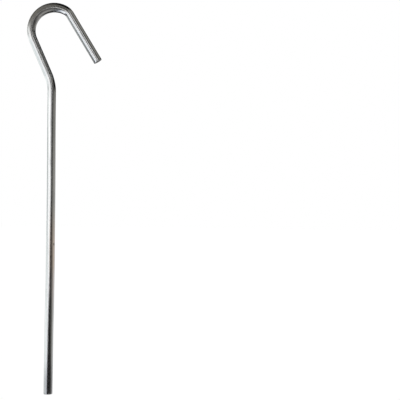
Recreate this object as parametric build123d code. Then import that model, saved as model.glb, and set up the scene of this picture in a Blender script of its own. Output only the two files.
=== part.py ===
from build123d import *

import math
import os

# A hooked wire tent stake: one length of zinc-plated drawn steel wire, cropped off square at both ends and
# bent cold in one plane. The centre of the tip is the origin and the shank stands up along +Z. The hook lies
# in the XZ plane: the neck leans to -X, the hook comes over the top, and its free leg points down to +X.
# Lengths are in millimetres and angles in degrees.

WIRE_DIAMETER = 4.0
OVERALL_HEIGHT = 180.0
END_ROUNDING = 0.25

# The neck swings the wire aside, so that the hook's crown comes back over the shank.
NECK_BEND_RADIUS = 20.0
NECK_BEND_ANGLE = 24.0
NECK_LENGTH = 17.3

# The hook is wrapped round a former in one bend, and a short tighter kink the same way sets the leg.
HOOK_BEND_RADIUS = 10.6
HOOK_BEND_ANGLE = 143.0
KINK_RADIUS = 5.3
KINK_ANGLE = 29.4
LEG_LENGTH = 25.2

# Forming squeezes the wire over the crown: wider in the plane of the hook, thinner through it, with the
# same area of metal. The widening grows slowly from the neck and is gone where the leg starts.
CROWN_WIDENING = 0.13
WIDENING_DELAY = 1.4
HOOK_SECTIONS = 21

WIRE_RADIUS = WIRE_DIAMETER / 2
HOOK_TURN = HOOK_BEND_ANGLE + KINK_ANGLE


def widening(turned):
    """How much wider than round the wire is, once the hook has turned this many degrees from the neck."""
    share = turned / HOOK_TURN
    return 1 + CROWN_WIDENING * math.sin(math.pi * share**WIDENING_DELAY) ** 2


def shank_length():
    """What is left of the overall height below the neck bend."""
    neck_angle = math.radians(NECK_BEND_ANGLE)
    neck_rise = NECK_BEND_RADIUS * math.sin(neck_angle) + NECK_LENGTH * math.cos(neck_angle)
    crown_rise = HOOK_BEND_RADIUS * (1 + math.sin(neck_angle))
    crown_half_width = WIRE_RADIUS * widening(NECK_BEND_ANGLE + 90)
    return OVERALL_HEIGHT - neck_rise - crown_rise - crown_half_width


def centreline():
    """The six runs of the wire's centreline, from the tip of the shank to the end of the leg."""
    with BuildLine(Plane.XZ):
        shank = Line((0, 0), (0, shank_length()))
        neck_bend = JernArc(shank @ 1, shank % 1, NECK_BEND_RADIUS, NECK_BEND_ANGLE)
        neck = PolarLine(neck_bend @ 1, NECK_LENGTH, direction=neck_bend % 1)
        hook_bend = JernArc(neck @ 1, neck % 1, HOOK_BEND_RADIUS, -HOOK_BEND_ANGLE)
        kink = JernArc(hook_bend @ 1, hook_bend % 1, KINK_RADIUS, -KINK_ANGLE)
        leg = PolarLine(kink @ 1, LEG_LENGTH, direction=kink % 1)
    return shank, neck_bend, neck, hook_bend, kink, leg


def across(run, place):
    """The plane square to a run of the centreline, with its X through the hook's thickness."""
    return Plane(origin=run @ place, x_dir=(0, 1, 0), z_dir=run % place)


def hook_section(hook_bend, kink, turned):
    """The squeezed wire's section where the hook has turned this many degrees from the neck."""
    if turned <= HOOK_BEND_ANGLE:
        plane = across(hook_bend, turned / HOOK_BEND_ANGLE)
    else:
        plane = across(kink, (turned - HOOK_BEND_ANGLE) / KINK_ANGLE)
    wide = widening(turned)
    return plane * Ellipse(WIRE_RADIUS / wide, WIRE_RADIUS * wide)


def stake_wire():
    """The whole stake, from the cropped tip to the cropped end of the leg."""
    shank, neck_bend, neck, hook_bend, kink, leg = centreline()
    lower = sweep(across(shank, 0) * Circle(WIRE_RADIUS), path=Wire([shank, neck_bend, neck]))
    turns = [HOOK_TURN * step / (HOOK_SECTIONS - 1) for step in range(HOOK_SECTIONS)]
    hook = loft([hook_section(hook_bend, kink, turned) for turned in turns])
    free_leg = sweep(across(leg, 0) * Circle(WIRE_RADIUS), path=leg)
    wire = lower + hook + free_leg

    end_faces = wire.faces().filter_by(GeomType.PLANE)
    wire = fillet(end_faces.edges(), END_ROUNDING)
    wire.label = "stake_wire"
    return wire


os.makedirs("parts", exist_ok=True)
export_step(stake_wire(), "parts/stake_wire.step")
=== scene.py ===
import math
from types import SimpleNamespace

import bpy
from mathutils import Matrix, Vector, noise


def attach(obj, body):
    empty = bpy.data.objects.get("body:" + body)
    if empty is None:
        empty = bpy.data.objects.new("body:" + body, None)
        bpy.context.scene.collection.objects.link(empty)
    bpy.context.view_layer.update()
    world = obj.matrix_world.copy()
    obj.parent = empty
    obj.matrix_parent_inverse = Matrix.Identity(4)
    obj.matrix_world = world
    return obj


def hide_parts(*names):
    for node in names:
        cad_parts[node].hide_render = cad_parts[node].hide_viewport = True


# The hooked wire tent stake as it looks: zinc-plated drawn wire, with the marks that drawing, bending and
# cropping leave on it. Lengths are in millimetres here and become metres when the mesh is made.

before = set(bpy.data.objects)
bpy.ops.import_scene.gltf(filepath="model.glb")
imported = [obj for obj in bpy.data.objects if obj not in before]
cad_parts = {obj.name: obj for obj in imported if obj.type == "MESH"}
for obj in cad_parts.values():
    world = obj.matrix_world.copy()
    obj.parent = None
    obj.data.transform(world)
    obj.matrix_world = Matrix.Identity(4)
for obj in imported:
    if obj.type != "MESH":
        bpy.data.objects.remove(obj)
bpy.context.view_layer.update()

MM = 0.001

# The wire and its runs, the same as in the CAD model. Bends to the right of travel are positive.
RADIUS = 2.0
HEIGHT = 180.0
CROWN_WIDENING = 0.13
WIDENING_DELAY = 1.4
NECK_BEND = (20.0, -24.0)
NECK_LENGTH = 17.3
HOOK_BEND = (10.6, 143.0)
KINK = (5.3, 29.4)
LEG_LENGTH = 25.2
HOOK_TURN = HOOK_BEND[1] + KINK[1]

# One small pit in the plating: how far along the wire, and its angle round from the front to the right.
PIT_ALONG = 69.0
PIT_ANGLE = 1.05

# The mesh: points round the wire, rings on each cropped end, and how many of those are on its rolled edge.
# The straight wall stops a little short of each end, and the middle of each cut is slightly hollow.
AROUND = 80
END_RINGS = 14
ROLL_RINGS = 5
WALL_CLEARANCE = 0.5
CUT_HOLLOW = 0.1

# Where round the wire the blade entered, in radians: at the tip, and how much further round at the leg.
BLADE_ENTRY = 0.9
BLADE_TURN = 2.0


# ---------------------------------------------------------------------------------------------- the wire

def smooth(low, high, x):
    """0 below low, 1 above high, and a smooth rise between them."""
    t = min(1.0, max(0.0, (x - low) / (high - low)))
    return t * t * (3 - 2 * t)


def widening(turned):
    """How much wider than round the wire is, once the hook has turned this many degrees from the neck."""
    return 1 + CROWN_WIDENING * math.sin(math.pi * (turned / HOOK_TURN) ** WIDENING_DELAY) ** 2


def shank_length():
    """What is left of the overall height below the neck bend."""
    angle = math.radians(-NECK_BEND[1])
    neck_rise = NECK_BEND[0] * math.sin(angle) + NECK_LENGTH * math.cos(angle)
    crown_rise = HOOK_BEND[0] * (1 + math.sin(angle))
    return HEIGHT - neck_rise - crown_rise - RADIUS * widening(90 - NECK_BEND[1])


# Each run's name, its length or its radius, its angle, and the distance between rings.
RUNS = (
    ("shank", shank_length(), 0.0, 0.5),
    ("neck_bend", *NECK_BEND, 0.4),
    ("neck", NECK_LENGTH, 0.0, 0.45),
    ("hook", *HOOK_BEND, 0.3),
    ("kink", *KINK, 0.2),
    ("leg", LEG_LENGTH, 0.0, 0.45),
)


def stations():
    """The places along the wire: distance from the tip, centre, heading, hook turn, and the run's name."""
    found = []
    x = z = heading = along = turned = 0.0
    for name, size, angle, step in RUNS:
        turn = math.radians(angle)
        length = abs(turn) * size if angle else size
        count = round(length / step)
        for i in range(0 if not found else 1, count + 1):
            part = i / count
            if angle:
                side = math.copysign(1, turn)
                now = heading + turn * part
                px = x + side * size * (math.cos(heading) - math.cos(now))
                pz = z + side * size * (math.sin(now) - math.sin(heading))
            else:
                now = heading
                px = x + size * part * math.sin(heading)
                pz = z + size * part * math.cos(heading)
            hook = turned + (angle * part if name in ("hook", "kink") else 0)
            found.append((along + length * part, px, pz, now, hook, name))
        x, z, heading, turned, along = px, pz, now, hook, along + length
    return found


STATIONS = stations()
LENGTH = STATIONS[-1][0]
SHANK = shank_length()
HOOK_START = SHANK + math.radians(-NECK_BEND[1]) * NECK_BEND[0] + NECK_LENGTH
HOOK_END = LENGTH - LEG_LENGTH


def bow(along):
    """How far the hand-straightened shank strays from its line, in the plane of the hook."""
    if along >= SHANK:
        return 0.0
    share = along / SHANK
    slow = 0.30 * math.sin(math.pi * share) ** 2
    quick = 0.035 * math.sin(2 * math.pi * along / 47.0 + 0.6) * math.sin(math.pi * share)
    return slow + quick


def forming(along):
    """1 where the wire has been bent hard, 0 where it's as drawn."""
    neck = 0.12 * smooth(SHANK - 5, SHANK + 3, along) * (1 - smooth(SHANK + 6, SHANK + 13, along))
    entering = smooth(HOOK_START - 2, HOOK_START + 10, along)
    leaving = smooth(HOOK_END - 4, HOOK_END + 1.0, along)
    return max(neck, entering * (1 - leaving))


def dulling(angle, along):
    """How dull bending left the plating: less near the kink on the inside, which the former burnished."""
    inside = smooth(-0.1, 0.6, math.sin(angle)) * smooth(HOOK_END - 12, HOOK_END - 5, along)
    return forming(along) * (1 - 0.85 * inside)


def relief(angle, along, hook, name):
    """How far the surface stands below the perfect section, in millimetres."""
    u, v = math.cos(angle), math.sin(angle)
    depth = 0.0012 * (1 + noise.noise(Vector((u * 7, v * 7, along * 0.02))))
    depth += 0.005 * (1 + noise.noise(Vector((u * 0.9, v * 0.9, along * 0.05 + 7))))
    formed = forming(along)
    if formed > 0.01:
        # Bent metal is grainier on the outside, and is ironed smooth where it lay on the former.
        outside = 0.5 + 0.5 * (v if name == "neck_bend" else -v)
        grain = noise.noise(Vector((u * 2.4, v * 2.4, along * 0.7)))
        depth += 0.006 * formed * outside * (1 + grain)
        depth += 0.04 * formed * smooth(0.12, 0.0, outside)
    # The kink gathers a faint fold on its inside.
    fold = math.exp(-((hook - HOOK_BEND[1] - 8) / 6.0) ** 2) if hook > 100 else 0.0
    depth += 0.05 * fold * smooth(0.2, 1.0, v)
    pit = ((along - PIT_ALONG) / 0.55) ** 2 + ((angle - PIT_ANGLE) * RADIUS / 0.3) ** 2
    return depth + 0.07 * math.exp(-pit)


def end_ring(angle, step, which):
    """One ring's (inset, depth) on a cropped end: rolled over where the blade entered, torn where it left."""
    entry = 0.5 + 0.5 * math.cos(angle - which * BLADE_TURN - BLADE_ENTRY)
    roll = 0.16 + 0.3 * entry
    if step <= ROLL_RINGS:
        quarter = math.pi / 2 * step / ROLL_RINGS
        return roll * (1 - math.sin(math.pi / 2 - quarter)), roll * (1 - math.sin(quarter))
    share = (step - ROLL_RINGS) / (END_RINGS - ROLL_RINGS)
    inset = roll + (RADIUS - roll) * share
    reach = (RADIUS - inset) / RADIUS * math.cos(angle - which * BLADE_TURN - BLADE_ENTRY)
    torn = smooth(0.15, -0.15, reach)
    rough = noise.noise(Vector((inset * math.cos(angle) * 2.2, inset * math.sin(angle) * 2.2, which * 5.0)))
    fall = 0.06 * smooth(0, 0.3, share)
    return inset, fall + torn * (0.05 + 0.05 * rough) * smooth(0, 0.25, share)


def build_wire():
    """The wire's mesh, with three attributes: unbent place, how dull bending left it, and the cut ends."""
    verts, unbent, formed, cropped, faces = [], [], [], [], []

    def ring(station, inset=None, depth=None, outwards=1, end=0.0):
        along, x, z, heading, hook, name = station
        wide = widening(hook)
        tx, tz = math.sin(heading), math.cos(heading)
        bx, bz = math.cos(heading), -math.sin(heading)
        for i in range(AROUND):
            angle = 2 * math.pi * i / AROUND
            reach = RADIUS - relief(angle, along, hook, name)
            back = 0.0
            if inset is not None:
                reach, back = reach - inset[i], depth[i] * outwards
            side, out = reach * wide * math.sin(angle), reach / wide * math.cos(angle)
            cx = x + bow(along) + bx * side + tx * back
            verts.append((cx * MM, -out * MM, (z + bz * side + tz * back) * MM))
            unbent.append((reach * math.sin(angle), -reach * math.cos(angle), along + back))
            formed.append(dulling(angle, along))
            cropped.append(end)

    def end_rings(station, order, outwards, which):
        for step in order:
            pairs = [end_ring(2 * math.pi * i / AROUND, step, which) for i in range(AROUND)]
            insets = [min(inset, RADIUS - 0.05) for inset, depth in pairs]
            depths = [depth for inset, depth in pairs]
            ring(station, insets, depths, outwards, smooth(2, 7, step))

    def centre(station, outwards):
        along, x, z, heading, hook, name = station
        back = CUT_HOLLOW * outwards
        cx = x + bow(along) + math.sin(heading) * back
        cz = z + math.cos(heading) * back
        verts.append((cx * MM, 0.0, cz * MM))
        unbent.append((0.0, 0.0, along + back))
        formed.append(0.0)
        cropped.append(1.0)

    centre(STATIONS[0], 1)
    end_rings(STATIONS[0], reversed(range(END_RINGS)), 1, 0)
    for station in STATIONS:
        if WALL_CLEARANCE < station[0] < LENGTH - WALL_CLEARANCE:
            ring(station)
    end_rings(STATIONS[-1], range(END_RINGS), -1, 1)
    centre(STATIONS[-1], -1)

    rings = (len(verts) - 2) // AROUND
    for i in range(AROUND):
        j = (i + 1) % AROUND
        faces.append((0, 1 + j, 1 + i))
        for k in range(rings - 1):
            low, high = 1 + k * AROUND, 1 + (k + 1) * AROUND
            faces.append((low + i, low + j, high + j, high + i))
        last = 1 + (rings - 1) * AROUND
        faces.append((last + i, last + j, len(verts) - 1))

    mesh = bpy.data.meshes.new("stake_body")
    mesh.from_pydata(verts, [], faces)
    for name, kind, field, values in (
        ("unbent", "FLOAT_VECTOR", "vector", [c for p in unbent for c in p]),
        ("formed", "FLOAT", "value", formed),
        ("cropped", "FLOAT", "value", cropped),
    ):
        mesh.attributes.new(name, kind, "POINT").data.foreach_set(field, values)
    mesh.polygons.foreach_set("use_smooth", [True] * len(faces))
    mesh.update()
    body = bpy.data.objects.new("stake_body", mesh)
    bpy.context.scene.collection.objects.link(body)
    return body


# -------------------------------------------------------------------------------------------- materials

class Graph:
    """Short ways to add nodes to one tree."""

    def __init__(self, tree):
        self.tree = tree
        tree.nodes.clear()

    def node(self, kind, inputs=(), **settings):
        made = self.tree.nodes.new(kind)
        for key, value in settings.items():
            setattr(made, key, value)
        for key, value in dict(inputs).items():
            self.put(made.inputs[key], value)
        return made

    def put(self, socket, value):
        if isinstance(value, bpy.types.NodeSocket):
            self.tree.links.new(value, socket)
        else:
            socket.default_value = value

    def math(self, operation, *values):
        made = self.node("ShaderNodeMath", operation=operation)
        for socket, value in zip(made.inputs, values):
            self.put(socket, value)
        return made.outputs[0]

    def rise(self, value, low, high, start=0.0, end=1.0):
        made = self.node("ShaderNodeMapRange", interpolation_type="SMOOTHSTEP")
        limits = {"Value": value, "From Min": low, "From Max": high, "To Min": start, "To Max": end}
        for key, item in limits.items():
            self.put(made.inputs[key], item)
        return made.outputs["Result"]

    def blend(self, factor, a, b):
        made = self.node("ShaderNodeMix", data_type="RGBA")
        self.put(made.inputs["Factor"], factor)
        self.put(made.inputs[6], a)
        self.put(made.inputs[7], b)
        return made.outputs[2]

    def scaled(self, vector, x, y, z):
        made = self.node("ShaderNodeVectorMath", {0: vector, 1: (x, y, z)}, operation="MULTIPLY")
        return made.outputs[0]

    def noise(self, vector, detail, rough=0.5, distortion=0.0):
        inputs = {"Vector": vector, "Scale": 1.0, "Detail": detail, "Roughness": rough}
        made = self.node("ShaderNodeTexNoise", {**inputs, "Distortion": distortion})
        return made.outputs["Fac"]


def wire_colour(g, marks):
    """Pale plating with drawing lines, a yellowed band lightened on the shank's shaded right side as painted
    light, painted shade darkening the tip, dull bends, a dark pit and dark ends.
    """
    colour = g.blend(g.rise(marks.cloud, 0.3, 0.7), (0.83, 0.83, 0.83, 1), (0.76, 0.77, 0.77, 1))
    colour = g.blend(g.rise(marks.fine, 0.4, 0.75, 0.0, 0.22), colour, (0.55, 0.55, 0.56, 1))
    colour = g.blend(g.rise(marks.broad, 0.45, 0.7, 0.0, 0.3), colour, (0.90, 0.91, 0.92, 1))

    # A yellowed, lighter band of the plating on the right of the shank, where old passivation has yellowed;
    # the lightening is painted light that lifts that shaded side.
    tint_and_painted_lift_mask = g.math("MULTIPLY", g.rise(marks.along, 38.0, 48.0), g.rise(marks.along, 70.0, 90.0, 1.0, 0.0))
    tint_and_painted_lift_mask = g.math("MULTIPLY", tint_and_painted_lift_mask, g.rise(marks.side, -0.8, 0.7))
    tint_and_painted_lift_mask = g.math("MULTIPLY", tint_and_painted_lift_mask, g.rise(marks.cloud, 0.2, 0.55, 0.7, 1.0))
    # Painted light: this colour is lighter than the plating so the shaded right side reads brighter, with a
    # yellow tint.
    tint_and_painted_lift_colour = g.blend(g.rise(marks.along, 52.0, 62.0), (1.0, 0.93, 0.93, 1), (1.0, 0.86, 0.78, 1))
    colour = g.blend(tint_and_painted_lift_mask, colour, tint_and_painted_lift_colour)

    # Painted shade: the last centimetres are darkened towards the tip, standing in for the dimmer reflection
    # there.
    painted_tip_shade = g.math("ADD", marks.along, g.math("MULTIPLY", marks.mottle, 6.0))
    colour = g.blend(g.rise(painted_tip_shade, 8.0, 24.0, 0.85, 0.0), colour, (0.42, 0.42, 0.43, 1))

    colour = g.blend(g.math("MULTIPLY", marks.dull, 0.8), colour, (0.47, 0.455, 0.425, 1))
    middle = (1.75, -0.97, PIT_ALONG)
    pit = g.node("ShaderNodeVectorMath", {0: marks.place, 1: middle}, operation="DISTANCE").outputs["Value"]
    colour = g.blend(g.rise(pit, 0.2, 0.75, 0.85, 0.0), colour, (0.10, 0.09, 0.08, 1))
    cut = g.blend(marks.mottle, (0.30, 0.29, 0.28, 1), (0.50, 0.48, 0.46, 1))
    return g.blend(marks.cropped, colour, cut)


def wire_roughness(g, marks):
    """Glossy, but duller in the clouds, on the cut ends, and on the bends, more so away from the kink."""
    rough = g.rise(marks.fine, 0.3, 0.75, 0.15, 0.22)
    rough = g.math("ADD", rough, g.rise(marks.cloud, 0.35, 0.75, 0.0, 0.05))
    worked = g.math("MULTIPLY", marks.dull, g.rise(marks.along, 183.0, 190.0, 0.12, 0.07))
    rough = g.math("ADD", rough, worked)
    return g.math("ADD", rough, g.math("MULTIPLY", marks.cropped, 0.2))


def plated_wire():
    """Bright zinc on drawn steel: lengthwise drawing lines, cloudy plating, and dull metal on the bends."""
    made = bpy.data.materials.new("zinc_plated_steel")
    made.use_nodes = True
    g = Graph(made.node_tree)
    place = g.node("ShaderNodeAttribute", attribute_name="unbent").outputs["Vector"]
    formed = g.node("ShaderNodeAttribute", attribute_name="formed").outputs["Fac"]
    cropped = g.node("ShaderNodeAttribute", attribute_name="cropped").outputs["Fac"]
    split = g.node("ShaderNodeSeparateXYZ", {0: place}).outputs
    marks = SimpleNamespace(place=place, side=split["X"], along=split["Z"], cropped=cropped)

    # Lines left by the drawing die: fine ones all round, and a few broader ones.
    marks.fine = g.noise(g.scaled(place, 4.5, 4.5, 0.03), detail=3, rough=0.6)
    marks.broad = g.noise(g.scaled(place, 1.3, 1.3, 0.012), detail=2)
    # The plating: clouds a few millimetres long, and a finer mottle, which also breaks up the dull bends.
    marks.cloud = g.noise(g.scaled(place, 0.38, 0.38, 0.1), detail=2, distortion=0.5)
    marks.mottle = g.noise(g.scaled(place, 1.1, 1.1, 0.6), detail=3, rough=0.55)
    marks.dull = g.math("MULTIPLY", formed, g.rise(marks.mottle, 0.3, 0.62, 0.7, 1.0))

    height = g.math("ADD", g.math("MULTIPLY", marks.fine, 0.6), g.math("MULTIPLY", marks.mottle, 0.5))
    bump = g.node("ShaderNodeBump", {"Strength": 0.03, "Distance": 0.0001, "Height": height})
    inputs = {"Base Color": wire_colour(g, marks), "Metallic": 1.0, "Roughness": wire_roughness(g, marks)}
    shader = g.node("ShaderNodeBsdfPrincipled", {**inputs, "Normal": bump.outputs["Normal"]})
    g.node("ShaderNodeOutputMaterial", {"Surface": shader.outputs["BSDF"]})
    return made


wire = build_wire()
wire.data.materials.append(plated_wire())
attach(wire, "root")
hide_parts("stake_wire")


# ------------------------------------------------------------------------------------------- the studio

PLAIN = (1.0, 1.0, 1.0)
SKY = (0.95, 1.0, 1.0)
BLUE = (0.92, 0.98, 1.1)
WARM = (1.0, 0.98, 0.9)

# The soft lights round the stake: bearing and height of the middle, half width and half height, all in
# degrees, then the strength and the tint. Bearing 0 is the front, 90 the right and 180 the back.
# The values started as the output of a fit to the photograph by a scratch program. They were rounded and
# moved a little and are still close to it. The names only guess at what each light stands for.
LIGHTS = (
    (-40, 2, 30, 9, 1.4, PLAIN),  # the window, left of the front
    (-18, 2, 22, 6, 1.0, PLAIN),  # its near edge
    (-75, 10, 35, 9, 1.2, SKY),  # its far side, higher
    (-95, -10, 45, 10, 1.15, SKY),  # and the sill under it
    (-130, 0, 30, 10, 0.5, SKY),  # wall beyond the window
    (-45, -30, 18, 25, 1.4, BLUE),  # the table in the window's light
    (-90, -45, 30, 15, 1.4, BLUE),  # the table further left, and straight below
    (-80, -80, 40, 30, 1.0, BLUE),
    (16, 20, 7, 18, 1.2, PLAIN),  # a narrow lamp over the camera
    (55, 22, 14, 8, 0.45, WARM),  # and a small one to its right
    (-55, 40, 60, 30, 0.25, WARM),  # ceiling, left and right
    (70, 46, 75, 10, 0.3, WARM),
    (94, 0, 56, 8, 0.3, WARM),  # wall on the right
    (35, -45, 50, 27, 0.5, PLAIN),  # table on the right, and behind it
    (130, -25, 50, 25, 0.6, PLAIN),
    (-160, 12, 40, 15, 1.2, PLAIN),  # white paper behind
)
# Lights that overlap add up, but nothing round the stake is brighter than this.
BRIGHTEST = 1.3
# Each light has its full strength out to the first share of its ellipse, and fades to nothing at the second.
FADE_START = 0.45
FADE_END = 1.35


def glow(g, bearing, height, light):
    """What one soft light adds in the direction of this bearing and height."""
    middle, level, half_width, half_height, strength, tint = light
    colour = tuple(strength * part for part in tint)
    turn = g.math("WRAP", g.math("SUBTRACT", bearing, middle), 180.0, -180.0)
    across = g.math("DIVIDE", turn, half_width)
    above = g.math("DIVIDE", g.math("SUBTRACT", height, level), half_height)
    square = g.math("ADD", g.math("MULTIPLY", across, across), g.math("MULTIPLY", above, above))
    share = g.rise(g.math("SQRT", square), FADE_START, FADE_END, 1.0, 0.0)
    return g.node("ShaderNodeVectorMath", {0: colour, 1: share}, operation="MULTIPLY").outputs[0]


def studio():
    """The world: the soft lights that the wire reflects, and plain white where the camera looks past it."""
    world = bpy.data.worlds.new("studio")
    bpy.context.scene.world = world
    world.use_nodes = True
    g = Graph(world.node_tree)
    way = g.node("ShaderNodeTexCoord").outputs["Generated"]
    x, y, z = g.node("ShaderNodeSeparateXYZ", {0: way}).outputs
    bearing = g.math("DEGREES", g.math("ARCTAN2", x, g.math("MULTIPLY", y, -1.0)))
    height = g.math("DEGREES", g.math("ARCSINE", z))
    shade = glow(g, bearing, height, LIGHTS[0])
    for light in LIGHTS[1:]:
        both = {0: shade, 1: glow(g, bearing, height, light)}
        shade = g.node("ShaderNodeVectorMath", both, operation="ADD").outputs[0]
    top = (BRIGHTEST, BRIGHTEST, BRIGHTEST)
    shade = g.node("ShaderNodeVectorMath", {0: shade, 1: top}, operation="MINIMUM").outputs[0]
    lit = g.node("ShaderNodeBackground", {"Color": shade, "Strength": 1.0})
    seen = g.node("ShaderNodeBackground", {"Color": (1, 1, 1, 1), "Strength": 1.0})
    ray = g.node("ShaderNodeLightPath").outputs["Is Camera Ray"]
    mixed = g.node("ShaderNodeMixShader", {0: ray, 1: lit.outputs[0], 2: seen.outputs[0]})
    g.node("ShaderNodeOutputWorld", {"Surface": mixed.outputs[0]})


def floor():
    """White paper just under the tip, which glows enough to stay white and isn't reflected in the wire."""
    size, drop = 3.0, -0.0003
    mesh = bpy.data.meshes.new("floor")
    corners = [(-size, -size, drop), (size, -size, drop), (size, size, drop), (-size, size, drop)]
    mesh.from_pydata(corners, [], [(0, 1, 2, 3)])
    made = bpy.data.objects.new("floor", mesh)
    bpy.context.scene.collection.objects.link(made)
    paper = bpy.data.materials.new("white_paper")
    paper.use_nodes = True
    g = Graph(paper.node_tree)
    shine = g.node("ShaderNodeEmission", {"Color": (1, 1, 1, 1), "Strength": 1.0})
    matte = g.node("ShaderNodeBsdfDiffuse", {"Color": (0.05, 0.05, 0.05, 1)})
    both = g.node("ShaderNodeAddShader", {0: shine.outputs[0], 1: matte.outputs[0]})
    g.node("ShaderNodeOutputMaterial", {"Surface": both.outputs[0]})
    mesh.materials.append(paper)
    made.visible_glossy = False


def camera():
    """Square on to the plane of the hook, from the front, turned by a fraction of a degree."""
    lens, sensor, across, roll = 100.0, 36.0, 0.184, math.radians(0.7)
    right, up = 0.06993, 0.08924
    data = bpy.data.cameras.new("camera")
    data.lens, data.sensor_width = lens, sensor
    made = bpy.data.objects.new("camera", data)
    bpy.context.scene.collection.objects.link(made)
    x = right * math.cos(roll) - up * math.sin(roll)
    z = right * math.sin(roll) + up * math.cos(roll)
    made.location = (x, -across * lens / sensor, z)
    made.rotation_mode = "XYZ"
    made.rotation_euler = (math.pi / 2, -roll, 0)
    bpy.context.scene.camera = made


studio()
floor()
camera()
bpy.context.scene.view_settings.view_transform = "Standard"
